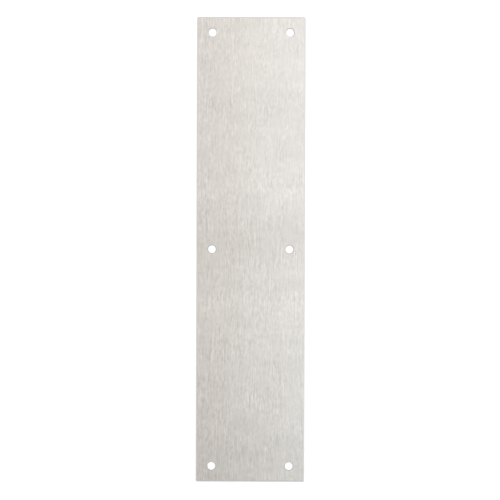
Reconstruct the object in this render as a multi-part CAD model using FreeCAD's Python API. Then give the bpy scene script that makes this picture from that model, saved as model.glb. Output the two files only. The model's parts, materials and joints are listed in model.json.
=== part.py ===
import FreeCAD, Part
import math
import os

# Door finger plate: one flat stainless steel plate, fixed to a door where hands push it.
# Lengths are in millimetres and angles in degrees.
# The plate lies on its back. The origin is the centre of the back face, +X runs across the
# width, +Y runs along the length, and +Z points out of the front face.

# Blank: 3 1/2 in by 15 in, cut from 0.050 in sheet
plate_width = 88.9
plate_length = 381.0
plate_thickness = 1.27
corner_radius = 1.2

# Edges: a bevel all round the front, and a slight break where shearing left the back sharp
bevel_width = 0.8
bevel_depth = 0.45
back_break = 0.12

# Screw holes, in the No. 6 size: rows up the length and columns across the width. Each margin
# runs from an edge of the plate to the nearest hole's axis.
hole_rows = 3
hole_columns = 2
side_margin = 12.7
end_margin = 12.7
screw_hole_diameter = 6.5

# Countersink: its included angle, and how far its mouth stands out round the hole
countersink_angle = 82.0
countersink_rim = 0.4

# How far a cutting tool runs past the face that it cuts through
tool_overrun = 1.0

# The smallest radius that a bevelled corner can keep at the front face
least_corner_radius = 0.05


def outline(inset, height):
    """Rectangle with round corners, drawn inside the blank's edge by an even inset."""
    half_width = plate_width / 2 - inset
    half_length = plate_length / 2 - inset
    radius = max(corner_radius - inset, least_corner_radius)
    edges = []
    for quarter in range(4):
        turn = FreeCAD.Rotation(FreeCAD.Vector(0, 0, 1), 90 * quarter)
        reach_x, reach_y = (half_width, half_length) if quarter % 2 == 0 else (half_length, half_width)
        side_start = turn.multVec(FreeCAD.Vector(reach_x, radius - reach_y, height))
        side_end = turn.multVec(FreeCAD.Vector(reach_x, reach_y - radius, height))
        diagonal = radius * (1 - math.sqrt(0.5))
        arc_middle = turn.multVec(FreeCAD.Vector(reach_x - diagonal, reach_y - diagonal, height))
        arc_end = turn.multVec(FreeCAD.Vector(reach_x - radius, reach_y, height))
        edges.append(Part.LineSegment(side_start, side_end).toShape())
        edges.append(Part.Arc(side_end, arc_middle, arc_end).toShape())
    return Part.Wire(edges)


def bevelled_blank():
    """The plate before drilling: a back break, a square edge and a front bevel, one above the other."""
    sections = [
        outline(back_break, 0),
        outline(0, back_break),
        outline(0, plate_thickness - bevel_depth),
        outline(bevel_width, plate_thickness),
    ]
    return Part.makeLoft(sections, True, True)


def countersink_tool():
    """The turned shape of a drill and its countersink, entering from the front along Z."""
    slope = math.tan(math.radians(countersink_angle / 2))
    hole_radius = screw_hole_diameter / 2
    mouth_radius = hole_radius + countersink_rim
    cone_start = plate_thickness - countersink_rim / slope
    top = plate_thickness + tool_overrun
    profile = Part.makePolygon([
        FreeCAD.Vector(0, 0, -tool_overrun),
        FreeCAD.Vector(hole_radius, 0, -tool_overrun),
        FreeCAD.Vector(hole_radius, 0, cone_start),
        FreeCAD.Vector(mouth_radius + tool_overrun * slope, 0, top),
        FreeCAD.Vector(0, 0, top),
        FreeCAD.Vector(0, 0, -tool_overrun),
    ])
    axis_foot = FreeCAD.Vector(0, 0, 0)
    axis = FreeCAD.Vector(0, 0, 1)
    return Part.Face(profile).revolve(axis_foot, axis, 360)


def evenly_spread(count, margin, size):
    """Places along one side of the plate, from one margin to the other, about its centre."""
    if count == 1:
        return [0.0]
    first = margin - size / 2
    pitch = (size - 2 * margin) / (count - 1)
    return [first + pitch * index for index in range(count)]


def drilled(blank):
    """The blank with a countersunk hole at each place of the grid."""
    tool = countersink_tool()
    tools = []
    for x in evenly_spread(hole_columns, side_margin, plate_width):
        for y in evenly_spread(hole_rows, end_margin, plate_length):
            tools.append(tool.translated(FreeCAD.Vector(x, y, 0)))
    return blank.cut(Part.makeCompound(tools))


finger_plate = drilled(bevelled_blank()).Solids[0]

os.makedirs("parts", exist_ok=True)
finger_plate.exportStep("parts/finger_plate.step")
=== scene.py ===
# %% [markdown]
# # A satin stainless finger plate
#
# A finger plate is a strip of sheet metal fixed to a door where hands push it. This one is blanked
# from thin stainless sheet, bevelled round its front edge, drilled and countersunk in six places,
# and brushed along its length with an abrasive belt. The shape is simple, so the finish is what the
# eye reads: a pale warm grey with fine streaks that all run one way.
#
# The construction model already has the true sizes. This lesson loads it, measures it, makes a finer
# mesh of the same shape, and gives each surface the finish that its own machining would leave.

# %% Load the construction model
import json
import math

import bmesh
import bpy
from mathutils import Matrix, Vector


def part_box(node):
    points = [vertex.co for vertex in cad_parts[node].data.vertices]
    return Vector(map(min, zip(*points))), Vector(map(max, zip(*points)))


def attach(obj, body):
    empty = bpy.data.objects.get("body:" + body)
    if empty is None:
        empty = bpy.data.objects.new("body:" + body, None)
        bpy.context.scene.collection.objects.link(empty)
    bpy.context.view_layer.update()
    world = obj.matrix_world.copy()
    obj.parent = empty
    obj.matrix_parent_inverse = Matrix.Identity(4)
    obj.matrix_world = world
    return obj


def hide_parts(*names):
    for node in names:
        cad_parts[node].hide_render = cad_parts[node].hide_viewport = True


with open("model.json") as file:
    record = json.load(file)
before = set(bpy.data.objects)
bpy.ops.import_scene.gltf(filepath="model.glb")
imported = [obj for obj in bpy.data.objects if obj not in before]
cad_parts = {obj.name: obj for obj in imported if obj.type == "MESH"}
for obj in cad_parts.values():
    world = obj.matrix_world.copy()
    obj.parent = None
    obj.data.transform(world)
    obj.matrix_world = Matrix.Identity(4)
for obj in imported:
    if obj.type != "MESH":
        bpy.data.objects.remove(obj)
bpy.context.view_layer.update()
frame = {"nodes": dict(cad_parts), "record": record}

MM = 0.001
CUBIC_CM = 1e-6

# %% [markdown]
# ## Measure the part instead of typing its sizes again
#
# Every size that the finer mesh needs can be read from the loaded model: the box gives the outline,
# the corners that lie on the front face give the bevel and the countersinks, and the record gives
# the screw holes. If the construction model changes, this mesh follows it.

# %% Read the sizes from the model
NODE = "finger_plate"
TOUCH = 0.002 * MM
HOLE_SURROUND = 3
low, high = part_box(NODE)
corners = [vertex.co for vertex in frame["nodes"][NODE].data.vertices]
half_width = high.x
half_length = high.y
front_z = high.z

on_front = [point for point in corners if front_z - point.z < TOUCH]
on_back = [point for point in corners if point.z - low.z < TOUCH]
on_side = [point for point in corners if half_width - point.x < TOUCH]
bevel_width = half_width - max(point.x for point in on_front)
back_break = half_width - max(point.x for point in on_back)
bevel_foot_z = max(point.z for point in on_side)
corner_radius = half_length - max(point.y for point in on_side)

mounts = {mount["name"]: mount for mount in frame["record"]["mounts"]}
hole_grid = mounts["corner_screws"]["dims"]
hole_radius = hole_grid["hole_r_mm"] * MM
column_x = hole_grid["spacing_x_mm"] * MM / 2
row_y = hole_grid["spacing_y_mm"] * MM / 2
hole_centres = [(x, y) for x in (-column_x, column_x) for y in (-row_y, 0, row_y)]

near_hole = HOLE_SURROUND * hole_radius
first_hole = Vector((column_x, row_y))
round_hole = [point for point in corners if (point.xy - first_hole).length < near_hole]
at_mouth = [point for point in round_hole if front_z - point.z < TOUCH]
mouth_radius = max((point.xy - first_hole).length for point in at_mouth)
on_bore = [point for point in round_hole if (point.xy - first_hole).length < hole_radius + TOUCH]
cone_foot_z = max(point.z for point in on_bore)
print(f"bevel {bevel_width / MM:.2f} mm wide, {(front_z - bevel_foot_z) / MM:.2f} mm deep")
print(f"corner radius {corner_radius / MM:.2f} mm, back break {back_break / MM:.2f} mm")
print(f"hole {2 * hole_radius / MM:.2f} mm across, its mouth {2 * mouth_radius / MM:.2f} mm")
print(f"straight wall below the cone {cone_foot_z / MM:.2f} mm")

# %% [markdown]
# ## Draw cross-sections and soften their corners
#
# No machined edge is perfectly sharp: handling and brushing round it by a few hundredths of a
# millimetre, and that small round catches a thread of light. A bevel modifier could add it, but two
# cross-sections, one through the rim and one through a screw hole, give exact control of each corner.
# Each inner corner of a section becomes a short curve.

# %% Soften the corners of a section
EDGE_SOFTNESS = 0.06 * MM
EDGE_STEPS = 4


def soften(section):
    """The same open polyline, with each inner corner replaced by a short quadratic curve."""
    points = [Vector(section[0])]
    for before, corner, after in zip(section, section[1:], section[2:]):
        corner = Vector(corner)
        start = corner + (Vector(before) - corner).normalized() * EDGE_SOFTNESS
        end = corner + (Vector(after) - corner).normalized() * EDGE_SOFTNESS
        for step in range(EDGE_STEPS + 1):
            share = step / EDGE_STEPS
            to_corner = start.lerp(corner, share)
            points.append(to_corner.lerp(corner.lerp(end, share), share))
    points.append(Vector(section[-1]))
    return points


FLAT_MARGIN = 0.3 * MM
rim_section = soften([
    (back_break + FLAT_MARGIN, low.z),
    (back_break, low.z),
    (0, low.z + back_break),
    (0, bevel_foot_z),
    (bevel_width, front_z),
    (bevel_width + FLAT_MARGIN, front_z),
])
hole_section = soften([
    (hole_radius + FLAT_MARGIN, low.z),
    (hole_radius, low.z),
    (hole_radius, cone_foot_z),
    (mouth_radius, front_z),
    (mouth_radius + FLAT_MARGIN, front_z),
])
print("section points:", len(rim_section), "round the rim,", len(hole_section), "round a hole")

# %% [markdown]
# ## Skin the sections, then fill the two faces
#
# The rim section is carried round the outline and the hole section round each hole. Neighbouring
# rings are joined with quads. The front and back are flat, so what is left between the outline and
# the holes is filled in one step.

# %% Build the mesh
CORNER_STEPS = 16
HOLE_STEPS = 96


def outline_points(inset, z):
    """Points anticlockwise round the plate's outline, moved inwards by an inset."""
    radius = corner_radius - inset
    points = []
    for quarter, (side_x, side_y) in enumerate(((1, 1), (-1, 1), (-1, -1), (1, -1))):
        centre_x = side_x * (half_width - corner_radius)
        centre_y = side_y * (half_length - corner_radius)
        for step in range(CORNER_STEPS + 1):
            angle = math.radians(90) * (quarter + step / CORNER_STEPS)
            arm = Vector((math.cos(angle), math.sin(angle), 0)) * radius
            points.append(Vector((centre_x, centre_y, z)) + arm)
    return points


def circle_points(centre, radius, z):
    """Points clockwise round a hole, so that its wall faces the hole's axis."""
    points = []
    for step in range(HOLE_STEPS):
        angle = -math.tau * step / HOLE_STEPS
        points.append(Vector((
            centre[0] + radius * math.cos(angle),
            centre[1] + radius * math.sin(angle),
            z,
        )))
    return points


def skin(mesh, rings):
    """Joins each closed ring of points to the next, and gives the edges of the first and last."""
    rows = [[mesh.verts.new(point) for point in ring] for ring in rings]
    for lower, upper in zip(rows, rows[1:]):
        for i in range(len(lower)):
            j = (i + 1) % len(lower)
            mesh.faces.new((lower[i], lower[j], upper[j], upper[i]))
    ends = []
    for row in (rows[0], rows[-1]):
        ends.append([mesh.edges.get((row[i - 1], row[i])) for i in range(len(row))])
    return ends


mesh = bmesh.new()
back_edges, front_edges = skin(mesh, [outline_points(inset, z) for inset, z in rim_section])
for centre in hole_centres:
    back, front = skin(mesh, [circle_points(centre, radius, z) for radius, z in hole_section])
    back_edges += back
    front_edges += front
bmesh.ops.triangle_fill(mesh, edges=back_edges, use_beauty=True, normal=(0, 0, -1))
bmesh.ops.triangle_fill(mesh, edges=front_edges, use_beauty=True, normal=(0, 0, 1))
open_edges = [edge for edge in mesh.edges if not edge.is_manifold]
print("faces:", len(mesh.faces), "open edges:", len(open_edges))
print(f"volume {mesh.calc_volume() / CUBIC_CM:.2f} cubic cm")

# %% [markdown]
# ## Sort the facets by the tool that made them
#
# One sheet of steel shows five kinds of surface: the brushed front, the ground bevel, the sheared
# edge, the turned holes and the plain rolled back. A facet's own direction and its distance from a
# screw hole tell which one it belongs to, so no facet is picked by hand.

# %% Give each facet its surface
FRONT, BEVEL, EDGE, HOLE, BACK = SURFACES = range(5)
FACES_UP = 0.999
FACES_SIDEWAYS = 0.25
ALL_BY_AREA = 100


def surface_of(face):
    """Which of the five surfaces a facet belongs to."""
    middle = face.calc_center_median()
    if face.normal.z > FACES_UP:
        return FRONT
    if face.normal.z < -FACES_UP:
        return BACK
    if any((middle.xy - Vector(centre)).length < near_hole for centre in hole_centres):
        return HOLE
    return BEVEL if face.normal.z > FACES_SIDEWAYS else EDGE


for face in mesh.faces:
    face.smooth = True
    face.material_index = surface_of(face)
counts = [sum(face.material_index == surface for face in mesh.faces) for surface in SURFACES]
print("facets of front, bevel, edge, holes, back:", counts)

plate_mesh = bpy.data.meshes.new("brushed_plate")
mesh.to_mesh(plate_mesh)
mesh.free()
plate = bpy.data.objects.new("brushed_plate", plate_mesh)
bpy.context.scene.collection.objects.link(plate)
even_shading = plate.modifiers.new("even shading", "WEIGHTED_NORMAL")
even_shading.weight = ALL_BY_AREA
even_shading.keep_sharp = True

# %% [markdown]
# ## Write shader maths as Python
#
# A node tree is a set of sums, and sums are easier to read as Python. A `Signal` wraps one output
# socket; adding, subtracting or multiplying signals adds Math nodes. Every other node comes from one
# method, `Graph.add`, which takes the node's type, its settings, and what goes into its sockets.

# %% The helper for node trees


class Signal:
    """An output socket that can be used in Python sums."""

    def __init__(self, graph, socket):
        self.graph = graph
        self.socket = socket

    def math(self, operation, first, second):
        """The result of a new Math node."""
        return self.graph.add("ShaderNodeMath", {"operation": operation}, {0: first, 1: second})

    def __add__(self, other):
        return self.math("ADD", self, other)

    def __sub__(self, other):
        return self.math("SUBTRACT", self, other)

    def __rsub__(self, other):
        return self.math("SUBTRACT", other, self)

    def __mul__(self, other):
        return self.math("MULTIPLY", self, other)

    def __gt__(self, other):
        return self.math("GREATER_THAN", self, other)

    def __abs__(self):
        return self.math("ABSOLUTE", self, 0)

    __radd__ = __add__
    __rmul__ = __mul__


class Graph:
    """The node tree of a material or of the world, empty at first."""

    def __init__(self, owner):
        owner.use_nodes = True
        self.tree = owner.node_tree
        self.tree.nodes.clear()

    def add(self, kind, settings=None, sockets=None, output=0):
        """Adds a node, sets its settings and then its sockets, and gives one of its outputs."""
        node = self.tree.nodes.new(kind)
        for name, value in (settings or {}).items():
            setattr(node, name, value)
        for name, value in (sockets or {}).items():
            if isinstance(value, Signal):
                self.tree.links.new(value.socket, node.inputs[name])
            else:
                node.inputs[name].default_value = value
        return Signal(self, node.outputs[output]) if len(node.outputs) else None


# %% [markdown]
# ## Streaks that run one way
#
# Brushing leaves scratches that are long along the belt and narrow across it. Noise becomes streaks
# when its space is squeezed: the position is divided by a short length across the plate and a long
# one along it. Laying several sizes over each other gives the uneven look of a real belt.

# %% A noise that is stretched along the plate
NOISE_MEAN = 0.5


def position_mm(graph):
    """The place of a point on the plate, in millimetres."""
    place = graph.add("ShaderNodeTexCoord", output="Object")
    return graph.add("ShaderNodeVectorMath", {"operation": "SCALE"}, {0: place, "Scale": 1 / MM})


def part(graph, vector, axis):
    """The X, Y or Z of a vector."""
    return graph.add("ShaderNodeSeparateXYZ", None, {0: vector}, output=axis)


def streaks(graph, place, cell, seed, detail=2.0):
    """Noise about zero, whose cells have the given size in mm along x, y and z."""
    squeeze = Vector([1 / size for size in cell])
    shift = Vector((seed, seed, seed))
    squeezed = graph.add("ShaderNodeVectorMath", {"operation": "MULTIPLY"}, {0: place, 1: squeeze})
    moved = graph.add("ShaderNodeVectorMath", {"operation": "ADD"}, {0: squeezed, 1: shift})
    noise = graph.add("ShaderNodeTexNoise", None, {"Vector": moved, "Scale": 1.0, "Detail": detail})
    return noise - NOISE_MEAN


def tinted(graph, colour, shade):
    """A colour made lighter or darker by a signal about one."""
    grey = graph.add("ShaderNodeCombineXYZ", None, {0: shade, 1: shade, 2: shade})
    return graph.add("ShaderNodeVectorMath", {"operation": "MULTIPLY"}, {0: grey, 1: Vector(colour)})


def steel(name, draw):
    """Adds a metal material, whose colour, roughness and relief come from a drawing function."""
    material = bpy.data.materials.new(name)
    graph = Graph(material)
    colour, roughness, relief, depth = draw(graph, position_mm(graph))
    normal = graph.add("ShaderNodeBump", None, {"Distance": depth, "Height": relief})
    surface = graph.add("ShaderNodeBsdfPrincipled", None, {
        "Base Color": colour, "Metallic": 1.0, "Roughness": roughness, "Normal": normal,
    })
    graph.add("ShaderNodeOutputMaterial", None, {"Surface": surface})
    plate_mesh.materials.append(material)


# %% [markdown]
# ## The brushed front
#
# The belt finish is what the photograph shows most of. Streaks of several sizes carry it. The finest
# grain is a fifth of a millimetre wide: close up it shows as crisp lines, and from further away its
# relief spreads reflections sideways. Hairs and strokes, half a millimetre to two millimetres wide,
# are the grain that the eye sees from there, and long strokes and bands join them up.
#
# The roller that pressed the belt left two slower marks: patches where it pressed harder and cut the
# lines deeper, a little more so towards the left and the foot of the plate, and chatter, a faint
# wave across the belt's way.

# %% Front finish
FRONT_STEEL = (0.70, 0.672, 0.636)
FRONT_ROUGHNESS = 0.17
FRONT_RELIEF = 0.03 * MM
PATCH_STRENGTH = 2.4
DEEPER_TO_LEFT = 0.2
DEEPER_TO_FOOT = 0.2


def draw_front(graph, place):
    """Streaks of five sizes, cut deeper in patches."""
    grain = streaks(graph, place, (0.2, 9.0, 1.0), seed=3.1, detail=3.0)
    hairs = streaks(graph, place, (0.62, 9.0, 1.0), seed=28.4, detail=1.0)
    strokes = streaks(graph, place, (2.1, 4.4, 1.0), seed=17.7)
    long_strokes = streaks(graph, place, (1.4, 13.0, 1.0), seed=41.3, detail=1.0)
    bands = streaks(graph, place, (3.2, 60.0, 1.0), seed=63.9, detail=1.0)
    chatter = streaks(graph, place, (30.0, 14.0, 1.0), seed=77.2, detail=1.0)
    patches = streaks(graph, place, (12.0, 20.0, 1.0), seed=50.6, detail=1.0)
    to_left = part(graph, place, "X") * (-DEEPER_TO_LEFT * MM / half_width)
    to_foot = part(graph, place, "Y") * (-DEEPER_TO_FOOT * MM / half_length)
    pressure = 1.0 + patches * PATCH_STRENGTH + to_left + to_foot
    lines = grain * 0.38 + hairs * 0.13 + strokes * 0.285 + long_strokes * 0.155 + bands * 0.08
    shade = 1.0 + lines * pressure + chatter * 0.14
    roughness = FRONT_ROUGHNESS - strokes * 0.06 + grain * 0.04
    relief = grain + long_strokes * 0.5
    return tinted(graph, FRONT_STEEL, shade), roughness, relief, FRONT_RELIEF


steel("brushed_front", draw_front)

# %% [markdown]
# ## The bevel, the edge, the holes and the back
#
# The other surfaces show at the rim and from other sides. Each has its own shade, roughness and depth
# of relief, and a little noise on top. The bevel is ground along each edge, so its lines follow the
# edge, and at the two ends its colour is painted a little darker, a painted shade for their duller
# reflection. The sheared edge has a burnished upper band above a duller torn one, and the whole edge
# is painted darker than plain steel, partly the torn steel's own dullness and partly a painted shade.
# A drill and a countersink leave rings, which on a round wall are simply bands of height. The holes
# are painted darker than the face, a painted shade for the dark surroundings their walls reflect, and
# less so at the two holes at the top, a painted light that follows the brighter top of the plate. The
# back keeps the smooth grey skin that the rolling mill gave it.

# %% Bevel, edge, hole and back finishes
PLAIN_STEEL = (0.68, 0.66, 0.64)

BEVEL_SHADE = 1.06
BEVEL_ENDS_PAINTED_SHADE = 0.12
BEVEL_ROUGHNESS = 0.24
BEVEL_RELIEF = 0.004 * MM

TORN_SHARE = 0.55
TEAR_SOFTNESS = 0.03
TORN_TONE_AND_PAINTED_SHADE = 0.70
BURNISHED_LIGHTER = 0.12
BURNISHED_ROUGHNESS = 0.26
TORN_ROUGHER = 0.24
EDGE_RELIEF = 0.02 * MM

HOLE_PAINTED_SHADE = (0.80, 0.98)
HOLE_ROUGHNESS = 0.2
HOLE_RELIEF = 0.006 * MM

BACK_SHADE = 0.92
BACK_ROUGHNESS = 0.34
BACK_RELIEF = 0.002 * MM


def blend(graph, value, start, end, low_value=0.0, high_value=1.0):
    """A soft step from one value to another, while a signal goes from start to end."""
    return graph.add("ShaderNodeMapRange", {"interpolation_type": "SMOOTHSTEP"}, {
        "Value": value, "From Min": start, "From Max": end, "To Min": low_value, "To Max": high_value,
    })


def draw_bevel(graph, place):
    """Grinding lines that follow the nearest edge."""
    facing = graph.add("ShaderNodeTexCoord", output="Normal")
    is_end = abs(part(graph, facing, "Y")) > abs(part(graph, facing, "X"))
    along_side = streaks(graph, place, (0.08, 6.0, 0.08), seed=5.3)
    along_end = streaks(graph, place, (6.0, 0.08, 0.08), seed=8.9)
    lines = is_end * along_end + (1 - is_end) * along_side
    # Painted shade: the two end bevels get a darker colour, standing in for their duller reflection.
    shade = BEVEL_SHADE - is_end * BEVEL_ENDS_PAINTED_SHADE + lines * 0.2
    return tinted(graph, PLAIN_STEEL, shade), BEVEL_ROUGHNESS - lines * 0.1, lines, BEVEL_RELIEF


def draw_edge(graph, place):
    """A burnished band above a torn one, with a ragged line between them."""
    height = part(graph, place, "Z")
    ragged = streaks(graph, place, (1.6, 1.6, 50.0), seed=12.4)
    tear_line = bevel_foot_z / MM * TORN_SHARE + ragged * 0.3
    burnished = blend(graph, height - tear_line, -TEAR_SOFTNESS, TEAR_SOFTNESS)
    torn = streaks(graph, place, (0.12, 0.12, 0.12), seed=33.0, detail=4.0)
    drag = streaks(graph, place, (0.10, 0.10, 3.0), seed=29.6)
    rough = 1 - burnished
    # Partly painted shade: the torn band is duller steel, but the whole edge is also painted darker
    # than plain steel, standing in for its darker reflection.
    shade = TORN_TONE_AND_PAINTED_SHADE + burnished * BURNISHED_LIGHTER + torn * rough * 0.25 + drag * 0.1
    roughness = BURNISHED_ROUGHNESS + rough * TORN_ROUGHER
    relief = drag * 0.5 + torn * rough
    return tinted(graph, PLAIN_STEEL, shade), roughness, relief, EDGE_RELIEF


def draw_hole(graph, place):
    """Rings from the drill and the countersink, crossed by a little chatter, over a painted shade
    that is lighter towards the top.
    """
    rings = streaks(graph, place, (30.0, 30.0, 0.05), seed=71.2)
    chatter = streaks(graph, place, (0.5, 0.5, 2.0), seed=55.8)
    # Painted shade and light: the holes' colour is darker than the face's and lighter towards the
    # top, following how the plate is lit.
    painted_shade = blend(graph, part(graph, place, "Y"), 0, row_y / MM, *HOLE_PAINTED_SHADE)
    shade = painted_shade + rings * 0.2 + chatter * 0.1
    return tinted(graph, PLAIN_STEEL, shade), HOLE_ROUGHNESS + rings * 0.1, rings, HOLE_RELIEF


def draw_back(graph, place):
    """Faint rolling lines and a cloudy bloom."""
    rolling = streaks(graph, place, (1.2, 80.0, 1.0), seed=90.1)
    cloud = streaks(graph, place, (18.0, 30.0, 1.0), seed=23.5, detail=4.0)
    shade = BACK_SHADE + rolling * 0.12 + cloud * 0.14
    return tinted(graph, PLAIN_STEEL, shade), BACK_ROUGHNESS + cloud * 0.12, rolling, BACK_RELIEF


steel("ground_bevel", draw_bevel)
steel("sheared_edge", draw_edge)
steel("turned_hole", draw_hole)
steel("rolled_back", draw_back)
print("materials:", [material.name for material in plate_mesh.materials])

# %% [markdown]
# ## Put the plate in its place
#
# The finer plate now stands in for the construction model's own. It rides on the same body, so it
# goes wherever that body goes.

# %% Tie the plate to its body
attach(plate, "root")
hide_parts(NODE)

# %% [markdown]
# ## A white table
#
# The plate lies on a white table. The table's own colour makes it white, not strong light on the
# plate. Where the camera, or a reflection, looks at it directly it is lifted a little, so that it
# reaches white while the plate's thin contact shadow still shows.

# %% Floor
FLOOR_HALF = 15.0
FLOOR_GAP = 0.02 * MM
FLOOR_WHITE = 0.9
FLOOR_LIFT = 0.3


def seen_directly(graph):
    """One where the camera, a reflection or clear glass looks at a surface, and otherwise zero."""
    camera = graph.add("ShaderNodeLightPath", output="Is Camera Ray")
    mirror = graph.add("ShaderNodeLightPath", output="Is Glossy Ray")
    glass = graph.add("ShaderNodeLightPath", output="Is Transmission Ray")
    clamped = {"operation": "ADD", "use_clamp": True}
    return graph.add("ShaderNodeMath", clamped, {0: camera + mirror, 1: glass})


floor_mesh = bpy.data.meshes.new("floor")
floor_signs = ((-1, -1), (1, -1), (1, 1), (-1, 1))
floor_corners = [(x * FLOOR_HALF, y * FLOOR_HALF, -FLOOR_GAP) for x, y in floor_signs]
floor_mesh.from_pydata(floor_corners, [], [(0, 1, 2, 3)])
floor = bpy.data.objects.new("floor", floor_mesh)
bpy.context.scene.collection.objects.link(floor)
floor_paint = bpy.data.materials.new("white_table")
graph = Graph(floor_paint)
lift = seen_directly(graph) * FLOOR_LIFT
surface = graph.add("ShaderNodeBsdfPrincipled", None, {
    "Base Color": (FLOOR_WHITE, FLOOR_WHITE, FLOOR_WHITE, 1),
    "Roughness": 1.0,
    "Specular IOR Level": 0.0,
    "Emission Color": graph.add("ShaderNodeCombineXYZ", None, {0: lift, 1: lift, 2: lift}),
    "Emission Strength": 1.0,
})
graph.add("ShaderNodeOutputMaterial", None, {"Surface": surface})
floor_mesh.materials.append(floor_paint)

# %% [markdown]
# ## A pale room
#
# Metal shows its surroundings, so the room matters as much as the lamps. Seen from the plate, the
# walls are grey near the floor and white higher up, and a little lighter on the right and beyond the
# top end. The ceiling is greyer, and lighter towards the top end too. The camera itself sees white.
# How far a direction points up, from nought to one, tells the walls from the ceiling.

# %% Room
WALLS = (0.97, 0.965, 0.96)
WALL_FOOT = 0.72
WALL_GAIN_TO_RIGHT = 0.08
WALL_GAIN_TO_TOP = 0.12
WALL_WHITENS = (0.05, 0.45)
CEILING = (0.79, 0.768, 0.754)
CEILING_ENDS = (0.81, 1.2)
CEILING_REACH = 0.29
CEILING_STARTS = (0.5, 0.95)
MIX_FIRST, MIX_SECOND, MIX_COLOUR = 6, 7, 2


def mixed(graph, factor, first, second):
    """The first colour where the factor is zero, and the second where it is one."""
    colours = {"Factor": factor, MIX_FIRST: first, MIX_SECOND: second}
    return graph.add("ShaderNodeMix", {"data_type": "RGBA"}, colours, output=MIX_COLOUR)


world = bpy.data.worlds.new("studio")
bpy.context.scene.world = world
graph = Graph(world)
direction = graph.add("ShaderNodeTexCoord", output="Generated")
to_right, to_top, up = (part(graph, direction, axis) for axis in "XYZ")
wall_gain = WALL_GAIN_TO_RIGHT * to_right + WALL_GAIN_TO_TOP * to_top
wall_shade = blend(graph, up, *WALL_WHITENS, WALL_FOOT, 1.0) + wall_gain
walls = tinted(graph, WALLS, wall_shade)
ceiling_shade = blend(graph, to_top, -CEILING_REACH, CEILING_REACH, *CEILING_ENDS)
ceiling = tinted(graph, CEILING, ceiling_shade)
room = mixed(graph, blend(graph, up, *CEILING_STARTS), walls, ceiling)
camera_sees = graph.add("ShaderNodeLightPath", output="Is Camera Ray")
seen = mixed(graph, camera_sees, room, (1, 1, 1, 1))
background = graph.add("ShaderNodeBackground", None, {"Color": seen, "Strength": 1.0})
graph.add("ShaderNodeOutputWorld", None, {"Surface": background})

# %% [markdown]
# ## Five soft panels
#
# Two broad panels hang over the plate, with a gap between them for the camera. The gap shows in the
# metal as a faint darker band across the middle, and the bottom end grows darker where the lower
# panel stops. A narrower strip near each side of the gap sets the band off. The last panel, a little
# higher, covers only the right half, so the plate grows lighter from left to right. Light passes
# through a panel here, so where two overlap their brightness adds. Blender asks for a lamp's power,
# which is four times its brightness for each square metre.

# %% Panels
PANEL_REACH = 0.75
ALL_ACROSS = (-PANEL_REACH, PANEL_REACH)
ALL_ALONG = (-PANEL_REACH, PANEL_REACH)
RIGHT_HALF = (0.0, PANEL_REACH)
PANEL_HEIGHT = 0.6
STRIP_HEIGHT = 0.61
RIGHT_PANEL_HEIGHT = 0.7
PANEL_WHITE = (0.98, 0.99, 1.0)
PANEL_BLUE = (0.79, 0.92, 1.0)
WATTS_PER_RADIANCE = 4


def panel(name, across, along, height, radiance, colour=PANEL_WHITE):
    """A soft panel facing down, over a stretch of X and of Y, with the given brightness."""
    light = bpy.data.lights.new(name, "AREA")
    light.shape = "RECTANGLE"
    light.size = across[1] - across[0]
    light.size_y = along[1] - along[0]
    light.energy = WATTS_PER_RADIANCE * radiance * light.size * light.size_y
    light.color = colour
    lamp = bpy.data.objects.new(name, light)
    lamp.location = (sum(across) / 2, sum(along) / 2, height)
    lamp.visible_camera = False
    bpy.context.scene.collection.objects.link(lamp)


panel("upper_panel", ALL_ACROSS, (0.052, PANEL_REACH), PANEL_HEIGHT, radiance=0.072)
panel("upper_strip", ALL_ACROSS, (0.044, 0.070), STRIP_HEIGHT, radiance=0.092)
panel("lower_strip", ALL_ACROSS, (-0.091, -0.020), STRIP_HEIGHT, radiance=0.044)
panel("lower_panel", ALL_ACROSS, (-0.205, -0.020), PANEL_HEIGHT, radiance=0.060)
panel("right_panel", RIGHT_HALF, ALL_ALONG, RIGHT_PANEL_HEIGHT, radiance=0.256, colour=PANEL_BLUE)

# %% [markdown]
# ## The camera
#
# The photograph looks straight down on the plate, which stands upright in the frame and leans a
# fifth of a degree. A long lens from well above keeps its sides parallel. The scale comes from the
# plate's own length: so many pixels in the picture for so many millimetres of steel.

# %% Camera
IMAGE_SIDE = 500
PLATE_PIXELS = 464.6
CENTRE_PIXEL = (250.7, 249.3)
LEAN = math.radians(0.19)
CAMERA_HEIGHT = 1.4
SENSOR_WIDTH = 36.0

metres_per_pixel = 2 * half_length / PLATE_PIXELS
camera_data = bpy.data.cameras.new("camera")
camera_data.sensor_width = SENSOR_WIDTH
camera_data.lens = SENSOR_WIDTH * (CAMERA_HEIGHT - front_z) / (IMAGE_SIDE * metres_per_pixel)
camera = bpy.data.objects.new("camera", camera_data)
bpy.context.scene.collection.objects.link(camera)
offset_x = (IMAGE_SIDE / 2 - CENTRE_PIXEL[0]) * metres_per_pixel
offset_y = (CENTRE_PIXEL[1] - IMAGE_SIDE / 2) * metres_per_pixel
camera.location = (offset_x, offset_y, CAMERA_HEIGHT)
camera.rotation_euler = (0, 0, LEAN)
bpy.context.scene.camera = camera
bpy.context.scene.view_settings.view_transform = "Standard"
print(f"lens {camera_data.lens:.1f} mm, {metres_per_pixel / MM:.4f} mm to a pixel")
